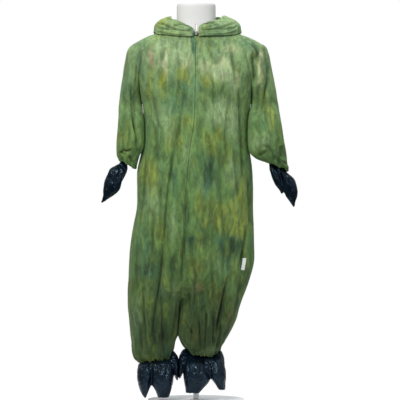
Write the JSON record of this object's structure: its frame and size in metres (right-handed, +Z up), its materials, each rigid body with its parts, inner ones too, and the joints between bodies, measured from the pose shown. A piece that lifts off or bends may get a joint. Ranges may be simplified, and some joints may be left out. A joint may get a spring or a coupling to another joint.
{
  "type": "hooded costume jumpsuit on a limbless dress form",
  "caption": "Child's zip-front plush costume jumpsuit with a folded hood and padded claws at cuffs and ankles, standing on a limbless dress form.",
  "frame": {"origin": "middle of the underside of the stand's round plate", "axes": "+Z up; the front of the garment faces -Y; +X to the right of someone who looks at the front"},
  "size_m": [0.548, 0.27, 1.114],
  "materials": {
    "plush_green": "short crinkled plush, dyed in streaks",
    "navy_shine": "coated cloth with a wet shine, padded",
    "zip_cloth": "woven tape",
    "zip_metal": "worn plating",
    "label_white": "plain satin ribbon",
    "form_white": "smooth matt shell",
    "stand_white": "satin paint"
  },
  "bodies": {
    "suit_and_form": {"front_right": "plush_green", "front_left": "plush_green", "back_right": "plush_green", "back_left": "plush_green", "sleeve_right": "plush_green", "sleeve_left": "plush_green", "hood_right": "plush_green", "hood_left": "plush_green", "zip_tape_right": "zip_cloth", "zip_tape_left": "zip_cloth", "zip_slider": "zip_metal", "side_label": "label_white", "hand_claw_right_front": "navy_shine", "hand_claw_right_back": "navy_shine", "hand_claw_left_front": "navy_shine", "hand_claw_left_back": "navy_shine", "foot_claw_right_outer": "navy_shine", "foot_claw_right_middle": "navy_shine", "foot_claw_right_inner": "navy_shine", "foot_claw_left_outer": "navy_shine", "foot_claw_left_middle": "navy_shine", "foot_claw_left_inner": "navy_shine", "form_torso": "form_white", "stand_pole": "stand_white", "stand_plate": "stand_white"},
    "zip_pull": {"pull_tab": "zip_metal"}
  },
  "joints": [
    {"name": "tab_hinge", "type": "hinge", "parent": "suit_and_form", "child": "zip_pull", "pos_m": [0, -0.0792, 1.0325], "axis": [1, 0, 0], "range_deg": [0, 170]}
  ]
}
